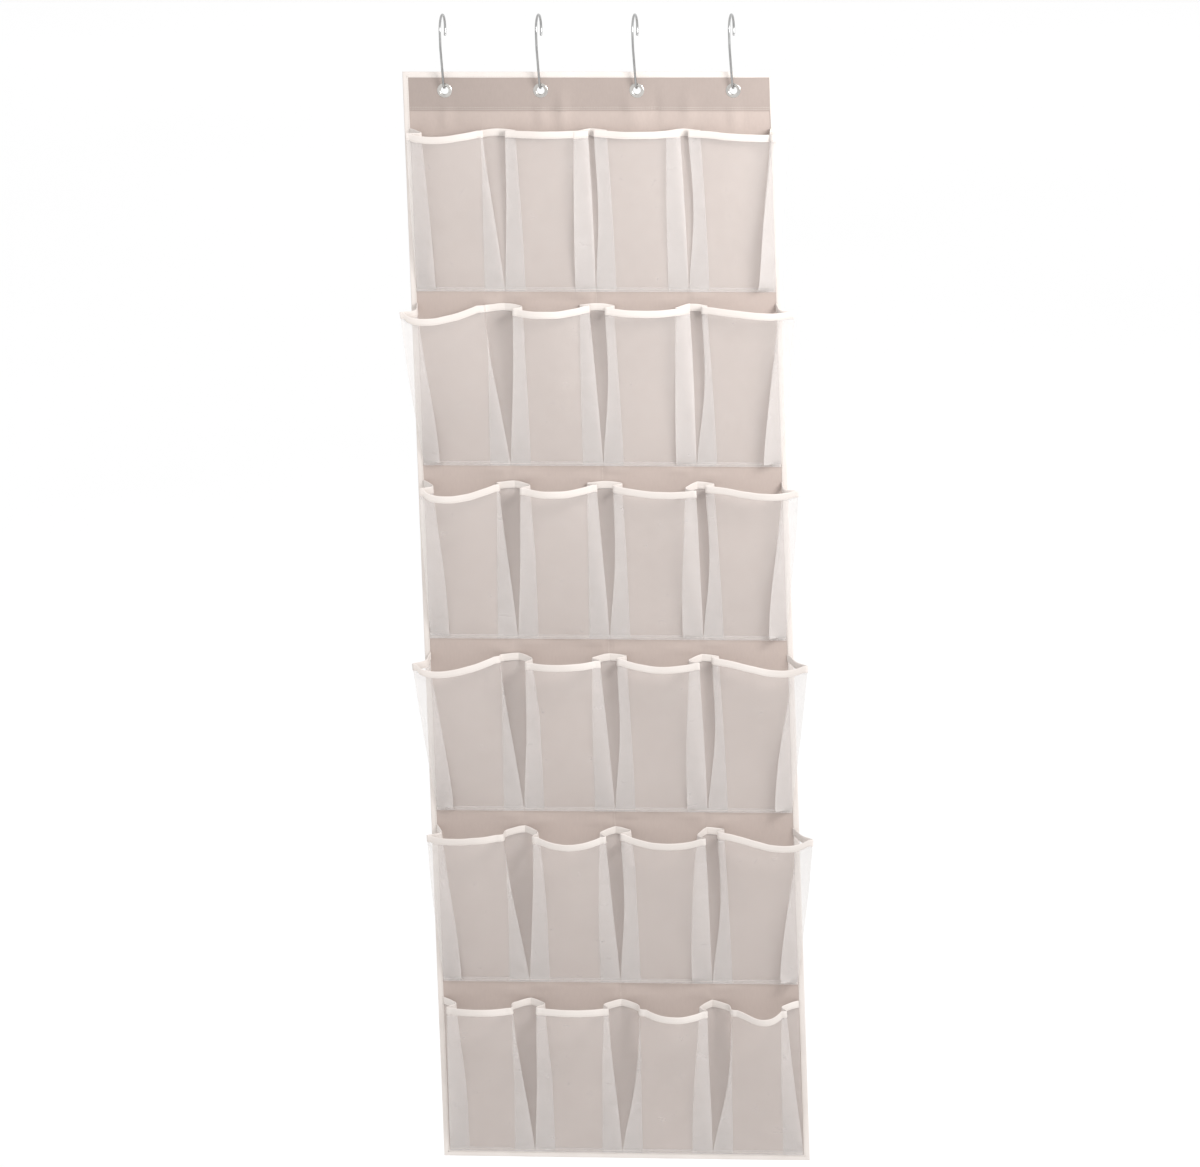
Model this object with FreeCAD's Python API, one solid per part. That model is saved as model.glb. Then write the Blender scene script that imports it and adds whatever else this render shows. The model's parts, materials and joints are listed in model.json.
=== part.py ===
"""Hanging shoe organizer: a fabric back panel with six strips of four pleated pockets, hung from a closet
rail by four wire hooks through eyelets in its header.

Frame: +Z up, the open pocket mouths face -Y, and the origin is on the rail's axis, midway between the
hooks. Everything is in millimetres. Fabric is drawn thicker than it is, so that each piece is a sound solid.
The back panel is one sheet on the real object. Here it is six segments that hinge in the bare strips
between the pocket rows, which is where the sheet folds.
"""

import FreeCAD, Part
import math
import os

V = FreeCAD.Vector

# --- driving dimensions -------------------------------------------------------------------------------
PANEL_W = 483.0  # finished width, over the edge binding
PANEL_H = 1448.0  # finished height
RAIL_R = 17.5  # the rail that the hooks are made for
WIRE_R = 1.5
RAIL_TO_TOP = 55.0  # from the rail's axis down to the panel's top edge

ROWS, COLUMNS = 6, 4
ROW_PITCH = 230.5
FIRST_SEAM = 288.0  # from the panel's top edge down to the first row's bottom seam
POCKET_H = 211.0  # from a row's bottom seam up to its rim
SEAMS_X = [-234.0, -119.0, 0.0, 119.0, 234.0]  # the vertical seams that part the pockets
PLEAT = 27.0  # depth of the pleat at each side of a pocket
MOUTH = 42.0  # how far a pocket's mouth stands off the panel

# How far each pocket's front corners stand inside its two seams at the mouth. A negative number is a
# corner that leans out past its seam. One line per row from the top, one pair per pocket.
LEANS = [
    [(-3, 17), (6, 0), (5, 1), (6, -27)],
    [(-20, 19), (11, 5), (13, -2), (14, -32)],
    [(-4, 15), (12, 5), (12, -10), (15, -30)],
    [(-20, 21), (12, 4), (10, -6), (12, -36)],
    [(-11, 23), (14, 4), (8, -8), (14, -34)],
    [(8, 16), (11, 8), (30, -3), (30, 8)],
]

SHEET_T = 1.0  # back panel
BAND_T = 0.5  # each leg of the folded header band
BIND_T = 0.6  # edge binding
SHEER_T = 0.7  # pocket fabric
TAPE_T = 1.4  # rim tape, folded over the mouth's edge
TAPE_H = 9.0
SIDE_BIND_W = 7.0
END_BIND_W = 10.0
HEADER_H = 51.0  # depth of the header band
SEAM_GAP = 3.0  # clear strip between two panel segments, at a fold
LAYER_STEP = 1.2  # from one layer of pocket fabric to the next, where they lie flat
PLAY = 0.1  # between cloth and what passes through it or wraps it

EYELET_DROP = 24.0  # from the panel's top edge to the eyelets' centres
HOOKS_X = [-187.5, -62.5, 62.5, 187.5]
EYELET_R = 5.0  # the eyelet's clear hole
EYELET_FLANGE_R = 9.5
EYELET_LIP = 0.8  # thickness of the eyelet's metal
FLANGE_CHAMFER_Y, FLANGE_CHAMFER_R = 0.3, 0.5
RAIL_PLAY = 0.5  # between the rail and a hook

LOOP_R = 7.5  # centre line of a hook's lower loop
LOOP_PLAY = 0.25
LEG_DROP = 20.0  # straight part of a hook's front leg, below the rail's axis
LEG_BEND_R = 25.0
BACK_TIP_DEG = -30.0  # where the hook's upper arc ends, behind the rail
LOOP_TIP = 5.0  # straight tip of the lower loop, behind the panel

JOIN_GAP = 1.5  # between the pieces of pocket fabric that meet at a crease
STRIP_FOOT = 2.0  # pocket fabric starts this far above its bottom seam
TAPE_GAP = 0.4  # between pocket fabric and the rim tape above it
MIN_FOLD = 1.0  # least depth of a pleat's fold, where the pleat is pulled almost straight
MITRE_LIMIT = 0.3  # keeps a ribbon's sharpest corners from growing long points
DRILL_LENGTH = 20.0

# --- derived places -----------------------------------------------------------------------------------
TOP_Z = -RAIL_TO_TOP
BOTTOM_Z = TOP_Z - PANEL_H
SEAM_Z = [TOP_Z - FIRST_SEAM - i * ROW_PITCH for i in range(ROWS)]
RIM_Z = [z + POCKET_H for z in SEAM_Z]
FOLD_Z = [(SEAM_Z[i] + RIM_Z[i + 1]) / 2 for i in range(ROWS - 1)]
EYELET_Z = TOP_Z - EYELET_DROP
PANEL_FRONT = -SHEET_T / 2
EDGE_X = PANEL_W / 2
HALF_STACK = SHEET_T / 2 + BAND_T  # half the thickness that an eyelet clamps
NOSE_R = HALF_STACK + EYELET_LIP  # radius of the eyelet's rolled inner edge
NOSE_AT = EYELET_R + NOSE_R  # that roll's centre, from the hole's axis
FIRST_LAYER_Y = PANEL_FRONT - TAPE_T / 2  # pocket fabric that lies against the panel
SECOND_LAYER_Y = FIRST_LAYER_Y - LAYER_STEP
FRONT_LAYER_Y = SECOND_LAYER_Y - LAYER_STEP


def save(name, solids):
    shape = solids[0] if len(solids) == 1 else Part.makeCompound(solids)
    shape.exportStep(os.path.join("parts", name + ".step"))


def block(x0, x1, y0, y1, z0, z1):
    return Part.makeBox(x1 - x0, y1 - y0, z1 - z0, V(x0, y0, z0))


def drilled(solid, radius):
    """The solid with a hole of that radius at each eyelet."""
    for x in HOOKS_X:
        start = V(x, -DRILL_LENGTH / 2, EYELET_Z)
        drill = Part.makeCylinder(radius, DRILL_LENGTH, start, V(0, 1, 0))
        solid = solid.cut(drill)
    return solid.Solids[0]


def plate(corners, thickness):
    """A thin closed solid on four corners that need not lie in one plane: two triangles a side."""
    a, b, c, d = corners
    normal = (c - a).cross(d - b)
    normal.normalize()
    step = normal * (thickness / 2)
    near = [p + step for p in corners]
    far = [p - step for p in corners]
    triangles = [
        (near[0], near[1], near[2]),
        (near[0], near[2], near[3]),
        (far[0], far[2], far[1]),
        (far[0], far[3], far[2]),
    ]
    for i in range(4):
        j = (i + 1) % 4
        triangles.append((near[i], far[i], far[j]))
        triangles.append((near[i], far[j], near[j]))
    faces = [Part.Face(Part.makePolygon([*t, t[0]])) for t in triangles]
    solid = Part.Solid(Part.Shell(faces))
    if solid.Volume < 0:
        solid.reverse()
    return solid


def ribbon(points, thickness, z0, z1):
    """An upright ribbon that follows points, given as (x, y), from z0 to z1."""
    sides = ([], [])
    for i, (x, y) in enumerate(points):
        x0, y0 = points[max(i - 1, 0)]
        x1, y1 = points[min(i + 1, len(points) - 1)]
        before = V(x - x0, y - y0, 0) if i else V(x1 - x, y1 - y, 0)
        after = V(x1 - x, y1 - y, 0) if i < len(points) - 1 else before
        before.normalize()
        after = V(after).normalize()
        along = (before + after).normalize()
        across = V(-along.y, along.x, 0)
        reach = thickness / 2 / max(MITRE_LIMIT, abs(across.dot(V(-before.y, before.x, 0))))
        sides[0].append(V(x, y, z0) + across * reach)
        sides[1].append(V(x, y, z0) - across * reach)
    outline = sides[0] + sides[1][::-1]
    face = Part.Face(Part.makePolygon([*outline, outline[0]]))
    return face.extrude(V(0, 0, z1 - z0))


# --- hooks and eyelets --------------------------------------------------------------------------------


def arc(centre, radius, start_deg, middle_deg, end_deg):
    """An arc in the plane of a hook, with angles from +Y towards +Z."""
    points = []
    for deg in (start_deg, middle_deg, end_deg):
        a = math.radians(deg)
        points.append(centre + V(0, radius * math.cos(a), radius * math.sin(a)))
    return Part.Arc(*points).toShape()


def hook(x):
    """One wire hook: over the rail from behind, down its front, and back through the eyelet."""
    rail_r = RAIL_R + RAIL_PLAY + WIRE_R
    loop_inside = LOOP_R - WIRE_R
    loop_z = EYELET_Z + NOSE_AT + loop_inside - NOSE_R - LOOP_PLAY
    rail, loop = V(x, 0, 0), V(x, 0, loop_z)
    corner = V(x, -rail_r, -LEG_DROP)

    # The slanting run leaves the leg's corner and touches the lower loop on its front side.
    to_loop = loop - corner
    slant = math.degrees(math.atan2(to_loop.z, to_loop.y))
    slant -= math.degrees(math.asin(LOOP_R / to_loop.Length))
    run = V(0, math.cos(math.radians(slant)), math.sin(math.radians(slant)))
    touch_deg = slant - 90.0 + 360.0
    touch = loop + V(0, math.cos(math.radians(touch_deg)), math.sin(math.radians(touch_deg))) * LOOP_R

    # The corner is rounded by an arc that starts on the leg and ends on the slanting run.
    turn = slant + 90.0
    trim = LEG_BEND_R * math.tan(math.radians(turn) / 2)
    leg_end, run_start = corner + V(0, 0, trim), corner + run * trim
    bend = leg_end + V(0, LEG_BEND_R, 0)

    tip = loop + V(0, LOOP_R, 0)
    edges = [
        arc(rail, rail_r, BACK_TIP_DEG, 75.0, 180.0),
        Part.LineSegment(rail - V(0, rail_r, 0), leg_end).toShape(),
        arc(bend, LEG_BEND_R, 180.0, 180.0 + turn / 2, 180.0 + turn),
        Part.LineSegment(run_start, touch).toShape(),
        arc(loop, LOOP_R, touch_deg, 275.0, 360.0),
        Part.LineSegment(tip, tip + V(0, 0, LOOP_TIP)).toShape(),
    ]
    path = Part.Wire(edges)
    start = edges[0].valueAt(edges[0].FirstParameter)
    heading = edges[0].tangentAt(edges[0].FirstParameter)
    section = Part.Wire(Part.makeCircle(WIRE_R, start, heading))
    wire = path.makePipeShell([section], True, True)
    for end in (start, tip + V(0, 0, LOOP_TIP)):
        wire = wire.fuse(Part.makeSphere(WIRE_R, end))
    return wire.removeSplitter().Solids[0]


def eyelet(x):
    """The rolled metal eyelet: a front flange and a barrel whose edge is rounded for the hook's wire."""
    inside = NOSE_R - EYELET_LIP
    roll = V(NOSE_AT, 0, 0)
    outer = Part.Arc(roll + V(0, -NOSE_R, 0), roll + V(-NOSE_R, 0, 0), roll + V(0, NOSE_R, 0))
    inner = Part.Arc(roll + V(0, inside, 0), roll + V(-inside, 0, 0), roll + V(0, -inside, 0))
    back = Part.LineSegment(roll + V(0, NOSE_R, 0), roll + V(0, inside, 0))
    rim = [
        roll + V(0, -inside, 0),
        V(EYELET_FLANGE_R, -inside, 0),
        V(EYELET_FLANGE_R, -NOSE_R + FLANGE_CHAMFER_Y, 0),
        V(EYELET_FLANGE_R - FLANGE_CHAMFER_R, -NOSE_R, 0),
        roll + V(0, -NOSE_R, 0),
    ]
    lines = [Part.LineSegment(p, q).toShape() for p, q in zip(rim, rim[1:])]
    wire = Part.Wire([outer.toShape(), back.toShape(), inner.toShape(), *lines])
    ring = Part.Face(wire).revolve(V(0, 0, 0), V(0, 1, 0), 360)
    return ring.translated(V(x, 0, EYELET_Z))


def washer(x):
    """The flat ring that the eyelet is rolled over, behind the panel."""
    centre = V(x, HALF_STACK, EYELET_Z)
    ring = Part.makeCylinder(EYELET_FLANGE_R, EYELET_LIP, centre, V(0, 1, 0))
    return ring.cut(Part.makeCylinder(NOSE_AT + PLAY, EYELET_LIP, centre, V(0, 1, 0)))


# --- back panel and its edges -------------------------------------------------------------------------


def segment_ends(row):
    """Highest and lowest Z of a panel segment, binding included."""
    top = TOP_Z if row == 0 else FOLD_Z[row - 1] - SEAM_GAP / 2
    bottom = BOTTOM_Z if row == ROWS - 1 else FOLD_Z[row] + SEAM_GAP / 2
    return top, bottom


def back_panel(row):
    top, bottom = segment_ends(row)
    if row == 0:
        top -= BIND_T + BAND_T + PLAY
    if row == ROWS - 1:
        bottom += BIND_T
    half = EDGE_X - BIND_T
    sheet = block(-half, half, -SHEET_T / 2, SHEET_T / 2, bottom, top)
    return drilled(sheet, NOSE_AT + PLAY) if row == 0 else sheet


def header_band():
    """A strip folded over the panel's top, which the eyelets clamp."""
    half = EDGE_X - SIDE_BIND_W - 2 * PLAY
    top = TOP_Z - BIND_T - PLAY / 2
    web = top - BAND_T
    low = TOP_Z - HEADER_H
    band = block(-half, half, -HALF_STACK, HALF_STACK, low, top)
    band = band.cut(block(-half, half, -SHEET_T / 2, SHEET_T / 2, low, web))
    return drilled(band, NOSE_AT + PLAY)


def binding_block(x0, x1, z0, z1, half_inside):
    """Folded binding over x0..x1 and z0..z1, before the cloth inside it is cut away."""
    half = half_inside + BIND_T
    return block(x0, x1, -half, half, z0, z1)


def edge_binding(row):
    """The binding round this segment's free edges: two sides, and the top or bottom edge."""
    top, bottom = segment_ends(row)
    cloth = SHEET_T / 2
    inner = EDGE_X - SIDE_BIND_W
    pieces = [
        binding_block(-EDGE_X, -inner, bottom, top, cloth),
        binding_block(inner, EDGE_X, bottom, top, cloth),
    ]
    inside_low, inside_high = bottom, top
    if row == 0:
        pieces.append(binding_block(-EDGE_X, EDGE_X, top - END_BIND_W, top, HALF_STACK))
        inside_high -= BIND_T
    if row == ROWS - 1:
        pieces.append(binding_block(-EDGE_X, EDGE_X, bottom, bottom + END_BIND_W, cloth))
        inside_low += BIND_T
    shape = pieces[0].multiFuse(pieces[1:]) if len(pieces) > 2 else Part.makeCompound(pieces)
    shape = shape.cut(block(-EDGE_X + BIND_T, EDGE_X - BIND_T, -cloth, cloth, inside_low, inside_high))
    if row == 0:
        shape = shape.cut(block(-inner, inner, -HALF_STACK, HALF_STACK, bottom, TOP_Z - BIND_T))
    return [s.removeSplitter().Solids[0] for s in shape.Solids]


# --- pockets ------------------------------------------------------------------------------------------


def crease(seam, corner, inward):
    """Where the pleat's inner fold lies at the mouth: one pleat depth from the seam and from the corner."""
    span = corner - seam
    reach = math.sqrt(max(PLEAT**2 - (span.Length / 2) ** 2, MIN_FOLD**2))
    side = V(span.y, -span.x, 0).normalize()
    if side.x * inward < 0:
        side = -side
    return (seam + corner) * 0.5 + side * reach


def mouth(row, column):
    """The mouth's plan: seam, crease and corner at the left, then corner, crease and seam at the right."""
    left, right = LEANS[row][column]
    seams = [V(SEAMS_X[column], FIRST_LAYER_Y, 0), V(SEAMS_X[column + 1], FIRST_LAYER_Y, 0)]
    corners = [seams[0] + V(left, 0, 0), seams[1] - V(right, 0, 0)]
    for corner in corners:
        corner.y = -MOUTH
    creases = [crease(seams[0], corners[0], 1), crease(seams[1], corners[1], -1)]
    return seams[0], creases[0], corners[0], corners[1], creases[1], seams[1]


def toward(p, q, gap):
    """p moved by gap towards q."""
    return p + (q - p).normalize() * gap


def strip_ends(row):
    return SEAM_Z[row] + STRIP_FOOT, RIM_Z[row] - TAPE_H - TAPE_GAP


def pocket_front(row, column):
    """The flat front of a pocket, from its bottom seam out to the mouth."""
    low, high = strip_ends(row)
    _, _, left, right, _, _ = mouth(row, column)
    foot = [V(SEAMS_X[column + i], FRONT_LAYER_Y, low) for i in (0, 1)]
    head = [V(left.x, left.y, high), V(right.x, right.y, high)]
    corners = [
        toward(foot[0], foot[1], JOIN_GAP),
        toward(foot[1], foot[0], JOIN_GAP),
        toward(head[1], head[0], JOIN_GAP),
        toward(head[0], head[1], JOIN_GAP),
    ]
    return plate(corners, SHEER_T)


def gusset(row, column, end):
    """The two leaves of the pleat at one end (0 left, 1 right) of a pocket."""
    low, high = strip_ends(row)
    plan = mouth(row, column)
    seam, fold, corner = plan[:3] if end == 0 else plan[:2:-1]
    inward = 1 if end == 0 else -1
    lift, drop = V(0, 0, high), V(0, 0, low)
    foot_seam = V(seam.x, FIRST_LAYER_Y, 0)
    foot_fold = V(seam.x + inward * PLEAT, FIRST_LAYER_Y, 0)
    back_foot = V(seam.x + inward * PLEAT, SECOND_LAYER_Y, 0)
    front_foot = V(seam.x, SECOND_LAYER_Y, 0)
    first = [
        toward(foot_seam, foot_fold, JOIN_GAP / 2) + drop,
        toward(foot_fold, foot_seam, JOIN_GAP / 2) + drop,
        toward(fold, seam, JOIN_GAP / 2) + lift,
        toward(seam, fold, JOIN_GAP / 2) + lift,
    ]
    second = [
        toward(back_foot, front_foot, JOIN_GAP / 2) + drop,
        toward(front_foot, back_foot, JOIN_GAP) + drop,
        toward(corner, fold, JOIN_GAP) + lift,
        toward(fold, corner, JOIN_GAP / 2) + lift,
    ]
    return [plate(first, SHEER_T), plate(second, SHEER_T)]


def rim_tape(row):
    """The binding of a row's mouths, in one length from edge to edge."""
    path = [(SEAMS_X[0], FIRST_LAYER_Y)]
    for column in range(COLUMNS):
        path += [(p.x, p.y) for p in mouth(row, column)[1:]]
    return ribbon(path, TAPE_T, RIM_Z[row] - TAPE_H, RIM_Z[row])


def main():
    os.makedirs("parts", exist_ok=True)
    for i, x in enumerate(HOOKS_X, 1):
        save(f"hook_{i}", [hook(x)])
        save(f"eyelet_{i}", [eyelet(x)])
    save("eyelet_washers", [washer(x) for x in HOOKS_X])
    save("header_band", [header_band()])
    for row in range(ROWS):
        n = row + 1
        save(f"back_panel_{n}", [back_panel(row)])
        save(f"edge_binding_{n}", edge_binding(row))
        leaves = [leaf for column in range(COLUMNS) for end in (0, 1) for leaf in gusset(row, column, end)]
        save(f"pocket_gussets_{n}", leaves)
        save(f"rim_tape_{n}", [rim_tape(row)])
        for column in range(COLUMNS):
            save(f"pocket_front_r{n}c{column + 1}", [pocket_front(row, column)])


main()
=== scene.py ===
"""The looks of a hanging fabric shoe organizer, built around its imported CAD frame. Metres throughout."""

import json
import math

import bpy
import numpy as np
from mathutils import Matrix, Vector, noise


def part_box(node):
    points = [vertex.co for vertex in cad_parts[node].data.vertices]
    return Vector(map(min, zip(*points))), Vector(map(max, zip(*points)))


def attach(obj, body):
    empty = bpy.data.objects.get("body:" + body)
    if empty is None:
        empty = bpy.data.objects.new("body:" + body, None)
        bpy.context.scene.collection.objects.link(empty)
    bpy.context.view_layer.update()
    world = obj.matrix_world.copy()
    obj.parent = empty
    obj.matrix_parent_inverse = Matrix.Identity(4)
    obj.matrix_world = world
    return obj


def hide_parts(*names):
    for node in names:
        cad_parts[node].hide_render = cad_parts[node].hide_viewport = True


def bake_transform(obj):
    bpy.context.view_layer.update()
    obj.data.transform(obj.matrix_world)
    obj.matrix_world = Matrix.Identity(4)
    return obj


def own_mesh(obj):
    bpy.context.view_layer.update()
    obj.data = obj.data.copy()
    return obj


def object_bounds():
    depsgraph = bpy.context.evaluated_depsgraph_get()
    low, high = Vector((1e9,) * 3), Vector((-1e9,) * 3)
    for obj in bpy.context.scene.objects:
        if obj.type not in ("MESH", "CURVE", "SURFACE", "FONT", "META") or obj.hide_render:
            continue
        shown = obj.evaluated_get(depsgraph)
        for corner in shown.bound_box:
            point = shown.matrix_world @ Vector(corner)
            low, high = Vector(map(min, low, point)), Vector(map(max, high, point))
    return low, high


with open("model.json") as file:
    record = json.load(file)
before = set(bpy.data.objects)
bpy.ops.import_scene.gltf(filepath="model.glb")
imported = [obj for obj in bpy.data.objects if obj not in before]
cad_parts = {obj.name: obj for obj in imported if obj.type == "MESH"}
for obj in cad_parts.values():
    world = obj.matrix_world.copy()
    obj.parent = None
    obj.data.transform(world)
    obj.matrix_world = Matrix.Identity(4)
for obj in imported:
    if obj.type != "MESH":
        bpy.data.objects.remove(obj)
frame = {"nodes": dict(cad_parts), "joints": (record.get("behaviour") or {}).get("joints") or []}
cad_low, cad_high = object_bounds()

MM = 0.001
JOINTS = {j["name"]: j for j in frame["joints"]}
ROWS, COLUMNS = 6, 4

# --- places that the frame gives -------------------------------------------------------------------------
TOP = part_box("edge_binding_1")[1].z
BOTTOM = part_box("edge_binding_6")[0].z
HALF_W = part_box("edge_binding_2")[1].x
PANEL_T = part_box("back_panel_2")[1].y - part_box("back_panel_2")[0].y
PANEL_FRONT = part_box("back_panel_2")[0].y
HEADER_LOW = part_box("header_band")[0].z
SEAM_Z = [JOINTS[f"pocket_r{r}c1_close"]["pos_m"][2] for r in range(1, ROWS + 1)]
RIM_Z = [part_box(f"rim_tape_{r}")[1].z for r in range(1, ROWS + 1)]
MID_Z = [(s + r) / 2 for s, r in zip(SEAM_Z, RIM_Z)]
CUTS = [TOP, *MID_Z, BOTTOM]  # where the cloth is cut into pieces: behind the middle of each pocket row
CENTRES = [JOINTS[f"pocket_r1c{c}_close"]["pos_m"][0] for c in range(1, COLUMNS + 1)]
SEAMS_X = [2 * (CENTRES[0] - CENTRES[1]), 2 * CENTRES[1], 0.0, 2 * CENTRES[2], 2 * (CENTRES[3] - CENTRES[2])]
EYELETS = [(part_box(f"eyelet_{n}")[0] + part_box(f"eyelet_{n}")[1]) / 2 for n in range(1, 5)]
EYELET_HOLE = 6.9 * MM  # the cloth's hole, inside the eyelet's flange

# --- cloth and tape ----------------------------------------------------------------------------------------
CLOTH_STEP = 5 * MM
SIDE_BIND_W = 7 * MM
BIND_T = 0.6 * MM
BIND_WOBBLE = 0.35 * MM
BIND_SEAM = 0.82  # where the stitches run, as a share of the tape's width
HEADER_T = 0.5 * MM
HEADER_GAP = 0.35 * MM  # between the panel's face and the middle of the header's cloth
HEADER_SEAMS = (2.5 * MM, 5.0 * MM)  # above the header's lower edge
TAPE_H = 9 * MM
TAPE_HALF = 0.62 * MM
TAPE_SEAM = 7.2 * MM
PLEAT = 27 * MM
HEM_H = 5.5 * MM
HEM_SEAM = 2.6 * MM
HEM_LAYERS = 4.4
STITCH_PITCH = 3.4 * MM
STITCH_LENGTH = 2.5 * MM
THREAD_R = 0.26 * MM
ON_CLOTH = 0.1 * MM  # from the sheet's face to the line that its stitches follow
SHARP_EDGE = math.radians(50)

# --- how the sheet hangs -------------------------------------------------------------------------------------
LONG_WAVE, SHORT_WAVE = 0.5 * MM, 0.35 * MM
WAVES_START, WAVES_FULL = 2 * MM, 50 * MM  # the waves grow from the top edge down, over this distance
CREASE_DEPTH = 2.2
FLAT_ROUND_EYELET = 14 * MM  # the clamped cloth is flat within about this radius
PINCH, PINCH_SIZE, PINCH_BELOW, PINCH_RIPPLE = 1.2 * MM, 16 * MM, 35 * MM, 4.5 * MM

# Each pocket's mouth, in millimetres: how far the left front corner leans in over the pocket and how far it
# stands off the panel, the same for the right front corner, and how far the rim sags between them.
MOUTHS = [
    [(-6, 22, 17, 11, 5), (6, 10, -3, 9, 1), (2, 9, -1, 9, 2), (3, 9, -30, 24, 3)],
    [(-20, 41, 26, 13, 11), (11, 28, 4, 12, 4), (11, 22, -7, 18, 3), (14, 15, -34, 33, 4)],
    [(-4, 36, 15, 18, 11), (9, 34, 5, 18, 5), (10, 22, -8, 40, 4), (10, 20, -31, 36, 6)],
    [(-20, 44, 21, 16, 13), (12, 38, 4, 30, 2), (10, 22, -6, 36, 7), (12, 16, -36, 45, 9)],
    [(-11, 42, 23, 38, 3), (14, 43, 4, 41, 8), (8, 30, -8, 43, 9), (14, 20, -36, 43, 11)],
    [(7, 38, 17, 38, 0), (10, 38, 9, 38, 0), (30, 40, -3, 44, 6), (30, 38, 8, 40, 9)],
]
RIM_LIFT = [3, 3.5, -1, 0, -1, -3]  # by row, in millimetres: the strips aren't all cut to the same height
# By row, in millimetres: the three inner seams aren't sewn quite in line down the panel, at foot and mouth.
FOOT_DRIFT = [(1, 0.5, 2.5), (-0.5, 2, 5), (1, 2.5, 6), (0.5, 1.5, 4), (-0.5, 0.5, 2.5), (-1.5, -5, -4.5)]
MOUTH_DRIFT = [(0, 0, 2.5), (0, 0.5, 3), (4, 3.5, 4.5), (1, 1, 3), (1, 1, 2), (0, 0.5, 1.5)]
EDGE_BOW = [0.0, 2.0, 5.0, 7.0]  # by column, in millimetres: how far a left edge bellies in at mid-height
SAG_SKEW = [0.66, 1.0, 1.0, 1.7]  # by column: under 1 puts the lowest point nearer the left


# --- small helpers -----------------------------------------------------------------------------------------


def smooth(t):
    t = np.clip(t, 0.0, 1.0)
    return t * t * (3 - 2 * t)


def surface_y(x, z):
    """How far the hanging cloth stands off its plane at (x, z): long soft waves, and creases by the seams."""
    x, z = np.asarray(x, float), np.asarray(z, float)
    y = LONG_WAVE * np.sin(9.0 * x + 2.1 * z + 0.6) * np.sin(3.7 * z + 1.0)
    y = y + SHORT_WAVE * np.sin(21.0 * x - 5.0 * z) * np.cos(8.0 * z + 0.4)
    for cx, cz, wide, high, lift in CREASES:
        y = y + CREASE_DEPTH * lift * MM * np.exp(-(((x - cx) / wide) ** 2) - ((z - cz) / high) ** 2)
    for e in EYELETS:
        y = y * (1 - np.exp(-(((x - e.x) ** 2 + (z - e.z) ** 2) / FLAT_ROUND_EYELET**2) ** 2))
    return y * smooth((TOP - z - WAVES_START) / WAVES_FULL) - PINCH * pull(x, z)


def pull(x, z):
    """Where the eyelets pinch the header: shallow upright ripples just under them."""
    total = 0.0
    for e in EYELETS:
        beside, below = (x - e.x) / PINCH_SIZE, (z - e.z + PINCH_BELOW) / PINCH_SIZE
        total = total + np.exp(-(beside**2)) * np.exp(-(below**2)) * np.cos((x - e.x) / PINCH_RIPPLE)
    return total


def crease_list():
    """Soft creases as (x, z, half width, half height, lift in millimetres), a negative lift being forward."""
    found = []
    under_header = [(-0.035, 0.006, -1.3), (0.052, 0.007, -1.1), (0.086, 0.005, 0.9), (0.128, 0.008, -0.9)]
    for x, wide, lift in under_header:
        found.append((x, TOP - 0.045, wide, 0.030, lift))
    for row in range(ROWS - 1):
        strip = (SEAM_Z[row] + RIM_Z[row + 1]) / 2
        for k, seam in enumerate(SEAMS_X[1:4]):
            side = 1 if (row + k) % 2 else -1
            found.append((seam - side * 0.018, strip + 0.004, 0.016, 0.0035, -1.0))
            found.append((seam + side * 0.024, strip - 0.004, 0.014, 0.003, -0.8))
            found.append((seam, strip, 0.0022, 0.016, 0.7))
        found.append((0.02 * (row - 2), strip, 0.05, 0.007, 0.8))
    return found


CREASES = crease_list()


def unevenness(x, z, seed, scale):
    return noise.noise(Vector((x * scale + seed * 7.3, seed * 3.1, z * scale)))


def facing_out(points, faces):
    """The faces of a closed solid, turned round if they face inwards."""
    p = np.array([tuple(q) for q in points])
    fans = np.array([(f[0], f[i], f[i + 1]) for f in faces for i in range(1, len(f) - 1)])
    volume = np.einsum("ij,ij->", p[fans[:, 0]], np.cross(p[fans[:, 1]], p[fans[:, 2]]))
    return faces if volume > 0 else [f[::-1] for f in faces]


def make_object(name, points, faces, material, uvs=None, more=()):
    """A mesh object. uvs holds one (u, v) in metres for each point. more is [(points, faces, material)]."""
    points, faces = [tuple(p) for p in points], [tuple(f) for f in faces]
    index, slots = [0] * len(faces), [material]
    flat = [tuple(uv) for uv in uvs] if uvs is not None else [(p[0], p[2]) for p in points]
    for extra_points, extra_faces, extra_material in more:
        if extra_material not in slots:
            slots.append(extra_material)
        start = len(points)
        points += [tuple(p) for p in extra_points]
        flat += [(p[0], p[2]) for p in extra_points]
        faces += [tuple(i + start for i in f) for f in extra_faces]
        index += [slots.index(extra_material)] * len(extra_faces)
    mesh = bpy.data.meshes.new(name)
    mesh.from_pydata(points, [], faces)
    layer = mesh.uv_layers.new(name="cloth")
    corner = np.zeros(len(mesh.loops), np.int32)
    mesh.loops.foreach_get("vertex_index", corner)
    layer.data.foreach_set("uv", np.array(flat, np.float32)[corner].ravel())
    for m in slots:
        mesh.materials.append(m)
    mesh.polygons.foreach_set("material_index", index)
    mesh.polygons.foreach_set("use_smooth", [True] * len(faces))
    mesh.update()
    mesh.set_sharp_from_angle(angle=SHARP_EDGE)
    thing = bpy.data.objects.new(name, mesh)
    bpy.context.scene.collection.objects.link(thing)
    return thing


def grid_faces(across, down, start=0, flip=False):
    """Quads of a grid of points stored row by row, with across points in each of down rows."""
    faces = []
    for j in range(down - 1):
        for i in range(across - 1):
            a = start + j * across + i
            quad = (a, a + 1, a + across + 1, a + across)
            faces.append(quad[::-1] if flip else quad)
    return faces


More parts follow.
